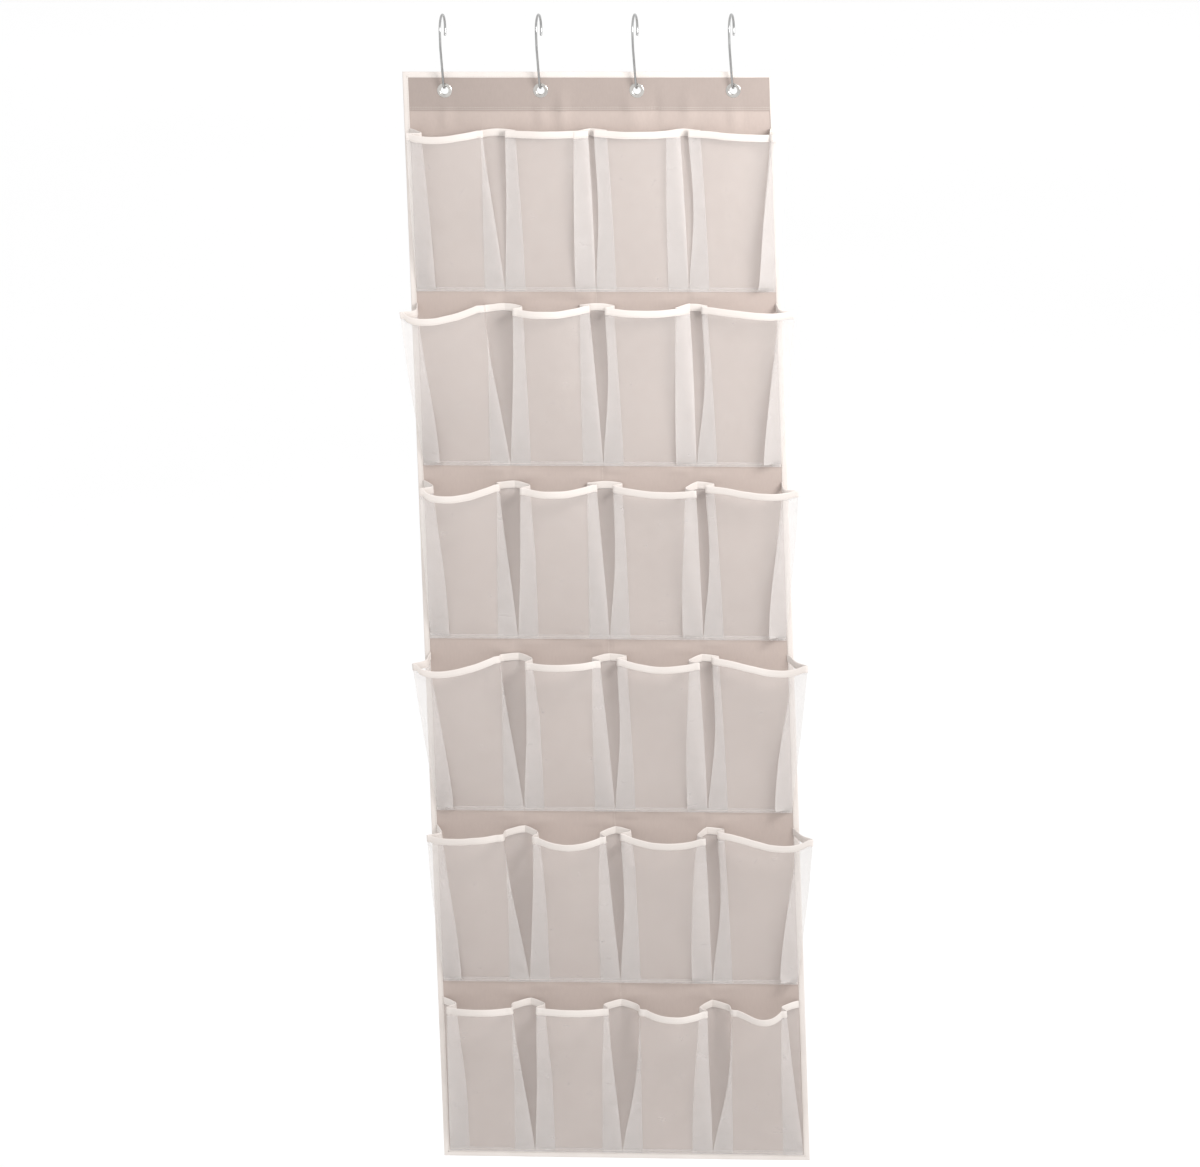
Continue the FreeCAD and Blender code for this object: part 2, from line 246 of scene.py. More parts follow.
def slab(rows, thickness):
    """A closed thin solid round a grid of points, rows[j][i]. Returns points, faces and (u, v) for each."""
    grid = np.array(rows, float)
    down, across = grid.shape[:2]
    along_i, along_j = np.gradient(grid, axis=1), np.gradient(grid, axis=0)
    normal = np.cross(along_i, along_j)
    normal /= np.maximum(np.linalg.norm(normal, axis=2, keepdims=True), 1e-12)
    step_u = np.linalg.norm(np.diff(grid, axis=1), axis=2).mean(axis=0)
    step_v = np.linalg.norm(np.diff(grid, axis=0), axis=2).mean(axis=1)
    u = np.concatenate([[0], np.cumsum(step_u)]) + grid[0, 0, 0]
    v = np.concatenate([[0], np.cumsum(step_v)]) - grid[0, 0, 2]
    uv = np.stack(np.meshgrid(u, -v), axis=2).reshape(-1, 2)
    near = (grid + normal * thickness / 2).reshape(-1, 3)
    far = (grid - normal * thickness / 2).reshape(-1, 3)
    n = across * down
    faces = grid_faces(across, down) + grid_faces(across, down, n, flip=True)
    edge = [i for i in range(across)] + [j * across + across - 1 for j in range(1, down)]
    edge += [(down - 1) * across + i for i in range(across - 2, -1, -1)]
    edge += [j * across for j in range(down - 2, 0, -1)]
    for a, b in zip(edge, edge[1:] + edge[:1]):
        faces.append((b, a, a + n, b + n))
    points = np.vstack([near, far])
    return points, facing_out(points, faces), np.vstack([uv, uv])


def sweep(path, outs, ups, section):
    """A solid swept along path. outs and ups are the section's two axes at each point of the path."""
    points, faces, uvs = [], [], []
    count = len(section)
    round_it = np.concatenate([[0], np.cumsum([math.dist(a, b) for a, b in zip(section, section[1:])])])
    far = 0.0
    for k, (p, out, up) in enumerate(zip(path, outs, ups)):
        far += (Vector(p) - Vector(path[k - 1])).length if k else 0.0
        for i, (a, b) in enumerate(section):
            points.append(Vector(p) + Vector(out) * a + Vector(up) * b)
            uvs.append((far, round_it[i]))
    for k in range(len(path) - 1):
        for i in range(count):
            j = (i + 1) % count
            faces.append((k * count + i, k * count + j, (k + 1) * count + j, (k + 1) * count + i))
    faces.append(tuple(range(count))[::-1])
    faces.append(tuple((len(path) - 1) * count + i for i in range(count)))
    return points, facing_out(points, faces), uvs


def resample(path, pitch):
    """Points along a polyline about pitch apart, with the direction of the line at each."""
    line = np.array([tuple(p) for p in path], float)
    steps = np.linalg.norm(np.diff(line, axis=0), axis=1)
    along = np.concatenate([[0], np.cumsum(steps)])
    count = max(1, round(along[-1] / pitch))
    at = (np.arange(count) + 0.5) * along[-1] / count
    middle = np.stack([np.interp(at, along, line[:, k]) for k in range(3)], axis=1)
    ahead = np.stack([np.interp(at + pitch * 0.3, along, line[:, k]) for k in range(3)], axis=1)
    behind = np.stack([np.interp(at - pitch * 0.3, along, line[:, k]) for k in range(3)], axis=1)
    direction = ahead - behind
    return middle, direction / np.maximum(np.linalg.norm(direction, axis=1, keepdims=True), 1e-9)


def stitches(path, outward):
    """A run of thread stitches on a line, as (points, faces, material). outward is away from the cloth."""
    middle, direction = resample(path, STITCH_PITCH)
    outward = np.broadcast_to(np.array(outward, float), middle.shape)
    side = np.cross(direction, outward)
    side /= np.maximum(np.linalg.norm(side, axis=1, keepdims=True), 1e-9)
    lift = np.cross(side, direction)
    rings = [(-0.5, 0.25, -0.6), (-0.3, 0.9, 0.3), (0.3, 0.9, 0.3), (0.5, 0.25, -0.6)]
    points, faces = [], []
    for m, d, s, n in zip(middle, direction, side, lift):
        start = len(points)
        for at, size, rise in rings:
            for k in range(5):
                turn = 2 * math.pi * k / 5
                ring = s * math.cos(turn) + n * math.sin(turn)
                points.append(m + d * at * STITCH_LENGTH + ring * THREAD_R * size + n * THREAD_R * rise)
        for r in range(3):
            for k in range(5):
                a, b = start + r * 5 + k, start + r * 5 + (k + 1) % 5
                faces.append((a, b, b + 5, a + 5))
        faces.append(tuple(start + k for k in range(5))[::-1])
        faces.append(tuple(start + 15 + k for k in range(5)))
    return points, facing_out(points, faces), THREAD


# --- materials ---------------------------------------------------------------------------------------------


class Nodes:
    """A node tree being written, one short line for each node."""

    def __init__(self, name):
        self.material = bpy.data.materials.new(name)
        self.material.use_nodes = True
        self.tree = self.material.node_tree
        self.shader = self.tree.nodes["Principled BSDF"]

    def add(self, kind, **settings):
        node = self.tree.nodes.new(kind)
        inputs = settings.pop("inputs", {})
        for key, value in settings.items():
            setattr(node, key, value)
        for key, value in inputs.items():
            if isinstance(value, bpy.types.NodeSocket):
                self.tree.links.new(value, node.inputs[key])
            else:
                node.inputs[key].default_value = value
        return node

    def set(self, **values):
        for key, value in values.items():
            socket = self.shader.inputs[key.replace("_", " ")]
            if isinstance(value, bpy.types.NodeSocket):
                self.tree.links.new(value, socket)
            else:
                socket.default_value = value

    def cloth_place(self, scale_u, scale_v):
        """The flat cloth's own coordinates, in metres times a scale."""
        place = self.add("ShaderNodeUVMap", uv_map="cloth")
        return self.add(
            "ShaderNodeMapping",
            inputs={"Vector": place.outputs["UV"], "Scale": (scale_u, scale_v, 1.0)},
        ).outputs["Vector"]

    def object_place(self):
        return self.add("ShaderNodeTexCoord").outputs["Object"]

    def noise(self, place, scale, detail=3.0, rough=0.55):
        node = self.add(
            "ShaderNodeTexNoise",
            inputs={"Vector": place, "Scale": scale, "Detail": detail, "Roughness": rough},
        )
        return node.outputs["Fac"]

    def wave(self, place, pitch, direction, distortion=4.0):
        """Uneven bands at a pitch in metres: Blender's wave texture has 20 / (2 pi) bands to the unit."""
        uneven = {"Distortion": distortion, "Detail": 1.0, "Detail Scale": 0.4}
        node = self.add(
            "ShaderNodeTexWave",
            wave_type="BANDS",
            bands_direction=direction,
            inputs={"Vector": place, "Scale": 2 * math.pi / 20 / pitch, **uneven},
        )
        return node.outputs["Fac"]

    def math(self, operation, a, b):
        node = self.add("ShaderNodeMath", operation=operation)
        for socket, value in zip(node.inputs, (a, b)):
            if isinstance(value, bpy.types.NodeSocket):
                self.tree.links.new(value, socket)
            else:
                socket.default_value = value
        return node.outputs["Value"]

    def ramp(self, factor, low, high, start=0.3, end=0.7):
        node = self.add("ShaderNodeValToRGB", inputs={"Fac": factor})
        node.color_ramp.elements[0].position = start
        node.color_ramp.elements[0].color = (*low, 1.0)
        node.color_ramp.elements[1].position = end
        node.color_ramp.elements[1].color = (*high, 1.0)
        return node.outputs["Color"]

    def bump(self, height, strength, distance):
        node = self.add(
            "ShaderNodeBump", inputs={"Height": height, "Strength": strength, "Distance": distance}
        )
        self.set(Normal=node.outputs["Normal"])


def shade(colour, factor):
    return tuple(c * factor for c in colour)


def cloth_material(name, colour, thread_pitch, spread=0.05, strength=0.6):
    """Plain-woven cloth: crossing threads, slubs, and a slow drift in tone."""
    n = Nodes(name)
    place = n.cloth_place(1.0, 1.0)
    warp = n.wave(place, thread_pitch, "X")
    weft = n.wave(place, thread_pitch, "Y")
    weave = n.math("MULTIPLY", warp, weft)
    slub = n.noise(n.cloth_place(1.0, 0.25), 420.0, 2.0)
    drift = n.noise(n.object_place(), 9.0, 3.0)
    tone = n.math("ADD", n.math("MULTIPLY", slub, 0.35), n.math("MULTIPLY", drift, 0.65))
    n.set(
        Base_Color=n.ramp(tone, shade(colour, 1 - spread), shade(colour, 1 + spread)),
        Roughness=0.88,
        Sheen_Weight=0.12,
        Sheen_Roughness=0.5,
        Specular_IOR_Level=0.25,
    )
    n.bump(n.math("ADD", weave, n.math("MULTIPLY", slub, 0.7)), strength, 0.12 * MM)
    return n.material


def sheer_material():
    """Frosted, see-through nonwoven cloth: matted fibres, the same alpha all over."""
    n = Nodes("sheer_cloth")
    fibres = n.noise(n.cloth_place(1.0, 0.6), 900.0, 4.0, 0.6)
    clouds = n.noise(n.cloth_place(1.0, 1.0), 60.0, 3.0)
    tone = n.math("ADD", n.math("MULTIPLY", fibres, 0.4), n.math("MULTIPLY", clouds, 0.6))
    n.set(
        Base_Color=n.ramp(tone, (0.655, 0.617, 0.597), (0.745, 0.71, 0.692)),
        Roughness=0.62,
        Sheen_Weight=0.2,
        Sheen_Roughness=0.4,
        Specular_IOR_Level=0.3,
        Alpha=0.32,
    )
    n.bump(n.math("ADD", fibres, n.math("MULTIPLY", clouds, 0.5)), 0.35, 0.15 * MM)
    n.material.use_transparent_shadow = True
    return n.material


def tape_material():
    """Cream woven tape with fine crossways ribs."""
    n = Nodes("binding_tape")
    place = n.cloth_place(1.0, 1.0)
    ribs = n.wave(place, 1.5 * MM, "X", 2.0)
    fuzz = n.noise(place, 700.0, 3.0)
    drift = n.noise(n.object_place(), 16.0, 2.0)
    tone = n.math("ADD", n.math("MULTIPLY", fuzz, 0.35), n.math("MULTIPLY", drift, 0.65))
    n.set(
        Base_Color=n.ramp(tone, (0.62, 0.568, 0.535), (0.70, 0.65, 0.615)),
        Roughness=0.8,
        Sheen_Weight=0.15,
        Specular_IOR_Level=0.3,
    )
    n.bump(n.math("ADD", ribs, fuzz), 0.5, 0.14 * MM)
    return n.material


def thread_material():
    n = Nodes("sewing_thread")
    twist = n.wave(n.object_place(), 0.4 * MM, "DIAGONAL", 1.0)
    n.set(
        Base_Color=n.ramp(twist, (0.47, 0.42, 0.38), (0.60, 0.55, 0.50)), Roughness=0.6, Sheen_Weight=0.2
    )
    n.bump(twist, 0.4, 0.05 * MM)
    return n.material


def metal_material(name, low, high, rough):
    """Plated metal: faint drawing marks and a slightly uneven finish."""
    n = Nodes(name)
    place = n.object_place()
    marks = n.noise(place, 260.0, 4.0, 0.6)
    patches = n.noise(place, 45.0, 2.0)
    blend = n.math("ADD", n.math("MULTIPLY", marks, 0.5), n.math("MULTIPLY", patches, 0.5))
    rough_range = n.add(
        "ShaderNodeMapRange", inputs={"Value": blend, "To Min": rough * 0.75, "To Max": rough * 1.3}
    )
    n.set(Base_Color=n.ramp(blend, low, high), Metallic=1.0, Roughness=rough_range.outputs["Result"])
    n.bump(marks, 0.12, 0.05 * MM)
    return n.material


WEAVE = 0.8 * MM
PANEL_COLOUR = (0.438, 0.366, 0.332)
CLOTH = cloth_material("panel_cloth", PANEL_COLOUR, WEAVE)
HEADER = cloth_material("header_cloth", shade(PANEL_COLOUR, 0.78), WEAVE)
SHEER = sheer_material()
TAPE = tape_material()
THREAD = thread_material()
WIRE = metal_material("hook_wire", (0.30, 0.30, 0.30), (0.46, 0.46, 0.455), 0.24)
EYELET = metal_material("eyelet_metal", (0.48, 0.46, 0.44), (0.66, 0.64, 0.61), 0.25)


# --- back panel --------------------------------------------------------------------------------------------


def follow(piece, k):
    """Piece k of the cloth rides on its row; a piece between two rows only has its place baked into its mesh.
    """
    if k == 0:
        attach(piece, "row_1")
    elif k == ROWS:
        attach(piece, f"row_{ROWS}")
    else:
        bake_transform(piece)


def holes_cut(piece):
    """Cuts a round hole through the piece at each eyelet."""
    bpy.ops.mesh.primitive_cylinder_add(vertices=40, radius=EYELET_HOLE, depth=30 * MM)
    cutter = bpy.context.object
    parts = []
    for e in EYELETS:
        copy = cutter.copy()
        copy.data = cutter.data.copy()
        copy.data.transform(Matrix.Translation(e) @ Matrix.Rotation(math.pi / 2, 4, "X"))
        copy.matrix_world = Matrix.Identity(4)
        bpy.context.scene.collection.objects.link(copy)
        parts.append(copy)
    for tool in parts:
        change = piece.modifiers.new("hole", "BOOLEAN")
        change.object, change.operation, change.solver = tool, "DIFFERENCE", "EXACT"
    bpy.context.view_layer.update()
    cut = bpy.data.meshes.new_from_object(piece.evaluated_get(bpy.context.evaluated_depsgraph_get()))
    piece.modifiers.clear()
    piece.data = cut
    for tool in [*parts, cutter]:
        bpy.data.objects.remove(tool)


def spaced(a, b, step):
    return np.linspace(a, b, max(2, round(abs(b - a) / step) + 1))


def back_panel(k):
    """Piece k of the back sheet, from cut k down to cut k + 1."""
    inset = 0.8 * MM
    top = CUTS[k] - (inset * 2 if k == 0 else 0.0)
    bottom = CUTS[k + 1] + (inset if k == ROWS else 0.0)
    xs = spaced(-HALF_W + inset, HALF_W - inset, CLOTH_STEP)
    rows = []
    for z in spaced(top, bottom, CLOTH_STEP):
        rows.append([(x, y, z) for x, y in zip(xs, surface_y(xs, z))])
    points, faces, uvs = slab(rows, PANEL_T)
    more = strip_stitches(k) + back_stitches(k, xs)
    piece = make_object(f"back_panel_sheet_{k + 1}", points, faces, CLOTH, uvs, more)
    if k == 0:
        holes_cut(piece)
    return piece, (xs[-1] - xs[0], top - bottom)


def strip_stitches(k):
    """The upright seams on the bare strip between two rows. The top and bottom pieces have no such strip."""
    if k in (0, ROWS):
        return []
    found = []
    for x in SEAMS_X[1:4]:
        line = []
        for z in spaced(SEAM_Z[k - 1], RIM_Z[k], 4 * MM):
            line.append((x, float(surface_y(x, z)) + PANEL_FRONT - ON_CLOTH, z))
        found.append(stitches(line, (0, -1, 0)))
    return found


def back_stitches(k, xs):
    """Behind the sheet: the upright seams between the pockets, and the seam under each row of them."""
    behind = PANEL_T / 2 + ON_CLOTH
    top = RIM_Z[0] if k == 0 else CUTS[k]
    bottom = SEAM_Z[-1] if k == ROWS else CUTS[k + 1]
    found = []
    for x in SEAMS_X[1:4]:
        line = [(x, float(surface_y(x, z)) + behind, z) for z in spaced(top, bottom, 4 * MM)]
        found.append(stitches(line, (0, 1, 0)))
    if k:
        z = SEAM_Z[k - 1] + HEM_SEAM
        line = [(x, float(surface_y(x, z)) + behind, z) for x in xs]
        found.append(stitches(line, (0, 1, 0)))
    return found


def header_band():
    """The strip folded over the top, with two rows of stitches along the foot of its front and back legs."""
    xs = spaced(-HALF_W + SIDE_BIND_W * 0.5, HALF_W - SIDE_BIND_W * 0.5, CLOTH_STEP)
    half = PANEL_T / 2 + HEADER_GAP
    top = TOP - 1.2 * MM
    profile = [(-half, z) for z in spaced(HEADER_LOW, top - half, 4 * MM)]
    for turn in (30, 60, 90, 120, 150):
        a = math.radians(turn)
        profile.append((-half * math.cos(a), top - half + half * math.sin(a)))
    profile += [(half, z) for z in spaced(top - half, HEADER_LOW, 4 * MM)]
    rows = [[(x, y + float(surface_y(x, z)), z) for x in xs] for y, z in profile]
    points, faces, uvs = slab(rows, HEADER_T)
    more = []
    for height in HEADER_SEAMS:
        z = HEADER_LOW + height
        for side in (-1, 1):
            line = [(x, float(surface_y(x, z)) + side * (half + 0.3 * MM), z) for x in xs]
            more.append(stitches(line, (0, side, 0)))
    piece = make_object("header_band_cloth", points, faces, HEADER, uvs, more)
    holes_cut(piece)
    length = sum(math.dist(a, b) for a, b in zip(profile, profile[1:]))
    return piece, (xs[-1] - xs[0], length)


# --- edge binding ------------------------------------------------------------------------------------------


def binding_section(width, half_inside):
    """A folded tape's outline as (inward, across): round the edge, with a front and a back leg."""
    outer = half_inside + BIND_T
    front = [(width, outer), (width * 0.72, outer * 1.04), (width * 0.35, outer), (outer * 0.6, outer)]
    turn = []
    for deg in (25, 55, 90, 125, 155):
        a = math.radians(deg)
        turn.append((outer * 0.6 - outer * 0.9 * math.sin(a), outer * math.cos(a)))
    back = [(w, -a) for w, a in front[::-1]]
    inside = [(width, -half_inside), (BIND_T, -half_inside), (BIND_T, half_inside), (width, half_inside)]
    return front + turn + back + inside


def edge_path(k):
    """The panel's outer edge in piece k: one or two runs of (x, z, inward direction)."""
    top, bottom = CUTS[k], CUTS[k + 1]
    down = list(spaced(top, bottom, 6 * MM))
    inward_left, inward_right = Vector((1, 0, 0)), Vector((-1, 0, 0))
    if 0 < k < ROWS:
        left = [(-HALF_W, z, inward_left) for z in down]
        right = [(HALF_W, z, inward_right) for z in down[::-1]]
        return [left, right]
    across = list(spaced(-HALF_W, HALF_W, 6 * MM))[1:-1]
    if k == 0:
        sides, end, inward = down[::-1][:-1], TOP, Vector((0, 0, -1))
        run = [(-HALF_W, z, inward_left) for z in sides]
        run.append((-HALF_W, end, inward_left + inward))
        run += [(x, end, inward) for x in across]
        run.append((HALF_W, end, inward_right + inward))
        run += [(HALF_W, z, inward_right) for z in sides[::-1]]
        return [run]
    sides, end, inward = down[:-1], BOTTOM, Vector((0, 0, 1))
    run = [(HALF_W, z, inward_right) for z in sides]
    run.append((HALF_W, end, inward_right + inward))
    run += [(x, end, inward) for x in across[::-1]]
    run.append((-HALF_W, end, inward_left + inward))
    run += [(-HALF_W, z, inward_left) for z in sides[::-1]]
    return [run]


def edge_binding(k):
    """The binding round piece k's free edges, with its row of stitches on the front and the back."""
    points, faces, uvs, more = [], [], [], []
    half_inside = PANEL_T / 2 + (HEADER_GAP if k == 0 else 0.05 * MM)
    section = binding_section(SIDE_BIND_W, half_inside)
    for run in edge_path(k):
        path, outs, lines = [], [], {-1: [], 1: []}
        for x, z, inward in run:
            wobble = BIND_WOBBLE * unevenness(x, z, 3, 45.0)
            y = float(surface_y(x, z))
            path.append(Vector((x, y + wobble * 0.5, z)) + inward * wobble * 0.4)
            outs.append(inward)
            for side, line in lines.items():
                place = Vector((x, y + side * (half_inside + BIND_T * 1.1), z))
                line.append(place + inward * SIDE_BIND_W * BIND_SEAM)
        start = len(points)
        p, f, uv = sweep(path, outs, [Vector((0, -1, 0))] * len(path), section)
        points += p
        faces += [tuple(i + start for i in face) for face in f]
        uvs += uv
        for side, line in lines.items():
            more.append(stitches(line, (0, side, 0)))
    return make_object(f"edge_binding_tape_{k + 1}", points, faces, TAPE, uvs, more)


# --- pockets -----------------------------------------------------------------------------------------------


CORNER_STEPS = [0.14, 0.28, 0.42, 0.58, 0.72, 0.86]
CORNER_SHARE = 0.42  # a corner's rounding takes at most this share of the side next to it
BELLY = 0.36  # how much of the slack in a pocket's front goes into bowing forward


class Pocket:
    """One pocket's shape: t runs from 0 at the bottom seam to 1 at the mouth."""

    LAYER = 0.35 * MM  # between layers of cloth where they lie flat on each other
    CREASE_LAYERS, FRONT_LAYERS = 2.1, 3.2  # how many lie under the crease and under the front
    SEAM_RISE, CREASE_RISE = 0.9 * MM, 1.5 * MM  # how much further out each stands at the mouth
    ROUND_FOOT, ROUND_MOUTH = 0.8 * MM, 8.0 * MM  # the corners' rounding at the foot, and what the mouth adds
    DRIFT = 2.2 * MM  # the front's slow unevenness
    CLEAR = 0.2 * MM  # in front of the panel's face, at least

    def __init__(self, row, column):
        self.row, self.column = row, column
        left_in, left_out, right_in, right_out, sag = (v * MM for v in MOUTHS[row][column])
        self.sides = ((left_in, left_out), (right_in, right_out))
        self.sag = sag
        self.skew = SAG_SKEW[column]
        ends = [(0, *drift[row], 0)[column:column + 2] for drift in (FOOT_DRIFT, MOUTH_DRIFT)]
        self.feet, self.seams = ([SEAMS_X[column + i] + end[i] * MM for i in (0, 1)] for end in ends)
        self.low, self.high = SEAM_Z[row], RIM_Z[row] + RIM_LIFT[row] * MM
        self.hem = HEM_H / (self.high - self.low)
        self.seed = row * COLUMNS + column + 1

    def drop(self, out):
        """How far a corner that stands out by this much comes down, the front's length being fixed."""
        return out * out / (2 * (self.high - self.low))

    def corner(self, side, t):
        """The plan places of the seam, the crease and the front fold at one side, and their heights."""
        lean, out = self.sides[side]
        inward = 1.0 if side == 0 else -1.0
        x0 = self.feet[side] + (self.seams[side] - self.feet[side]) * t
        z = self.low + (self.high - self.low) * t
        base = float(surface_y(x0, z)) * (1 - 0.5 * t) + PANEL_FRONT
        bow = 1.0 + 0.10 * math.sin(math.pi * t)
        lean_t = lean * t**1.08 * bow
        if side == 0:
            lean_t += EDGE_BOW[self.column] * MM * math.sin(math.pi * t) ** 1.5
        above = max(t - self.hem, 0.0) / (1 - self.hem)
        out_t = out * above * bow * (1.0 + 0.06 * math.sin(2.2 * math.pi * t + self.seed))
        seam = np.array([0.0, -self.LAYER - self.SEAM_RISE * t])
        front = np.array([lean_t, -self.FRONT_LAYERS * self.LAYER - out_t])
        span = front - seam
        reach = math.sqrt(max(PLEAT**2 - span @ span / 4, (0.12 * PLEAT) ** 2))
        across = np.array([-span[1], span[0]])
        across = across / max(np.linalg.norm(across), 1e-9)
        crease = (seam + front) / 2 + across * reach
        flat_y = -self.CREASE_LAYERS * self.LAYER - self.CREASE_RISE * t
        if crease[1] > flat_y:
            crease = np.array([math.sqrt(PLEAT**2 - flat_y**2) * (1 - 0.04 * t), flat_y])
        places = []
        fall = self.drop(out) * t * t
        for (a, b), down in ((seam, 0.0), (crease, fall * 0.45 + 2.0 * MM * t * t), (front, fall)):
            places.append(Vector((x0 + inward * a, base + b, z - down)))
        return places

    def outline(self, t):
        """The cloth's path at height t, from the left seam round to the right seam."""
        left, right = self.corner(0, t), self.corner(1, t)
        control = [*left, *right[::-1]]
        soft = self.ROUND_FOOT + self.ROUND_MOUTH * t * t
        counts = [6, 6, 26, 6, 6]
        path = []
        for i in range(5):
            a, b = control[i], control[i + 1]
            way = b - a
            length = max(way.length, 1e-6)
            trim = min(soft, length * CORNER_SHARE)
            start = a + way * (trim / length) if i else a
            end = b - way * (trim / length) if i < 4 else b
            for s in np.linspace(0, 1, counts[i]):
                point = start.lerp(end, s)
                if i in (0, 4):  # the edge leaves its seam level, and then comes down to the crease
                    eased = s * s if i == 0 else 1 - (1 - s) ** 2
                    point.z = start.z + (end.z - start.z) * eased
                path.append((point, i, s))
            if i < 4:
                after = control[i + 2] - b
                reach = min(soft, max(after.length, 1e-6) * CORNER_SHARE)
                leave = b + after.normalized() * reach
                for s in CORNER_STEPS:
                    point = end.lerp(b, s).lerp(b.lerp(leave, s), s)
                    path.append((point, -1, s))
        return self.eased(path, t)

    def eased(self, path, t):
        """The front bows out and sags between its corners, and the foot follows the panel it is sewn to."""
        (in_l, out_l), (in_r, out_r) = self.sides
        width = self.seams[1] - self.seams[0]
        chord = math.hypot(width - in_l - in_r, out_l - out_r)
        bow = BELLY * math.sqrt(max(width - chord, 0.6 * MM) * chord * 3 / 8)
        points = []
        front = [p.x for p, i, s in path if i == 2]
        x_first, x_last = front[0], front[-1]
        middle = (self.feet[0] + self.feet[1]) / 2
        xs = np.array([p.x for p, i, s in path])
        zs = np.array([p.z for p, i, s in path])
        cloth = surface_y(xs, zs)
        by_seam = surface_y(np.where(xs < middle, self.feet[0], self.feet[1]), zs)
        for (p, i, s), here, there in zip(path, cloth, by_seam):
            point = p.copy()
            if i == 2:
                u = (p.x - x_first) / max(x_last - x_first, 1e-6)
                skewed = 4 * u**self.skew * (1 - u**self.skew)
                rise = smooth(t * 1.15 - 0.1)
                point.y -= bow * 4 * u * (1 - u) * t**0.9
                point.z -= self.sag * skewed * float(rise) * t**3
                fold = unevenness(p.x, p.z * 0.35, self.seed, 16.0)
                point.y -= self.DRIFT * fold * math.sin(math.pi * min(t, 0.92)) * 4 * u * (1 - u)
            point.y += (here - there) * max(1 - t * 4, 0.0)
            point.y = min(point.y, here + PANEL_FRONT - self.CLEAR)
            points.append(point)
        return points


def pocket_heights(count=30):
    """Heights up a pocket, closer together near the bottom seam and the mouth."""
    t = np.linspace(0, 1, count)
    return t - 0.25 * np.sin(2 * math.pi * t) / (2 * math.pi)


def pocket(row, column):
    """The sheer cloth of one pocket, seam to seam: pleat, front, pleat."""
    shape = Pocket(row, column)
    heights = pocket_heights()
    rows = [shape.outline(float(t)) for t in heights]
    top = rows[-1]
    along = np.concatenate([[0], np.cumsum([(b - a).length for a, b in zip(top, top[1:])])])
    points, uvs = [], []
    for t, line in zip(heights, rows):
        for i, p in enumerate(line):
            points.append(p)
            uvs.append((along[i] + column * 0.25, p.z))
    faces = grid_faces(len(top), len(rows), flip=True)
    name = f"pocket_cloth_r{row + 1}c{column + 1}"
    piece = make_object(name, points, faces, SHEER, uvs)
    return piece, shape, along[-1]


def tape_frame(shape):
    """Points, outward directions and downward directions of the cloth's edge at the mouth."""
    edge = shape.outline(1.0)
    below = shape.outline(1.0 - TAPE_H / (shape.high - shape.low))
    outs, downs = [], []
    for i, (p, q) in enumerate(zip(edge, below)):
        before, after = edge[max(i - 1, 0)], edge[min(i + 1, len(edge) - 1)]
        tangent = (after - before).normalized()
        down = (q - p).normalized()
        outs.append(down.cross(tangent).normalized())
        downs.append(down)
    return edge, outs, downs


def rim_tape(row, column, shape):
    """The tape folded over a pocket's mouth, with a row of stitches inside and out."""
    edge, outs, downs = tape_frame(shape)
    h = TAPE_HALF
    section = [(0.0, -0.5 * MM), (0.75 * h, -0.25 * MM), (1.1 * h, 0.6 * MM), (1.0 * h, 3.0 * MM)]
    section += [(0.92 * h, 6.6 * MM), (1.05 * h, 8.4 * MM), (0.7 * h, TAPE_H)]
    section += [(-a, b) for a, b in section[:0:-1]]
    path, line_out, line_in = [], [], []
    for i, p in enumerate(edge):
        path.append(p + downs[i] * 0.5 * MM * unevenness(p.x, p.y, shape.seed, 60.0))
        line_out.append(p + downs[i] * TAPE_SEAM + outs[i] * h)
        line_in.append(p + downs[i] * TAPE_SEAM - outs[i] * h)
    points, faces, uvs = sweep(path, outs, downs, section)
    uvs = [(u + column * 0.25, v) for u, v in uvs]
    more = []
    for line, sign in ((line_out, 1.0), (line_in, -1.0)):
        middle, _ = resample(line, STITCH_PITCH)
        near = [min(range(len(edge)), key=lambda i: (line[i] - Vector(m)).length_squared) for m in middle]
        outward = np.array([tuple(outs[i] * sign) for i in near])
        more.append(stitches(line, outward))
    return make_object(f"pocket_rim_r{row + 1}c{column + 1}", points, faces, TAPE, uvs, more)


def strip_hem(row):
    """The turned-under bottom edge of a row's pocket cloth, and the seam that sews it to the panel."""
    z0, z1 = SEAM_Z[row], SEAM_Z[row] + HEM_H
    xs = spaced(SEAMS_X[0], SEAMS_X[-1], 4 * MM)
    front = HEM_LAYERS * Pocket.LAYER
    rows = []
    for z in spaced(z1, z0 - 0.4 * MM, 1.5 * MM):
        out = front + (0.5 * MM if z < z1 - 0.5 * MM else 0.2 * MM)
        rows.append([(x, float(surface_y(x, z)) + PANEL_FRONT - out, z) for x in xs])
    points = [p for line in rows for p in line]
    line = [(x, float(surface_y(x, z0)) + PANEL_FRONT - front - 0.6 * MM, z0 + HEM_SEAM) for x in xs]
    faces = grid_faces(len(xs), len(rows), flip=True)
    more = [stitches(line, (0, -1, 0))]
    return make_object(f"pocket_hem_row_{row + 1}", points, faces, SHEER, None, more)


# --- putting the object together ---------------------------------------------------------------------------


def build_panel():
    for k in range(ROWS + 1):
        sheet, flat = back_panel(k)
        tape = edge_binding(k)
        nodes = [f"back_panel_{n}" for n in (k, k + 1) if 1 <= n <= ROWS]
        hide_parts(*nodes)
        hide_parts(*[n.replace("back_panel", "edge_binding") for n in nodes])
        for piece in (sheet, tape):
            follow(piece, k)


def build_header():
    band, flat = header_band()
    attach(band, "row_1")
    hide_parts("header_band")


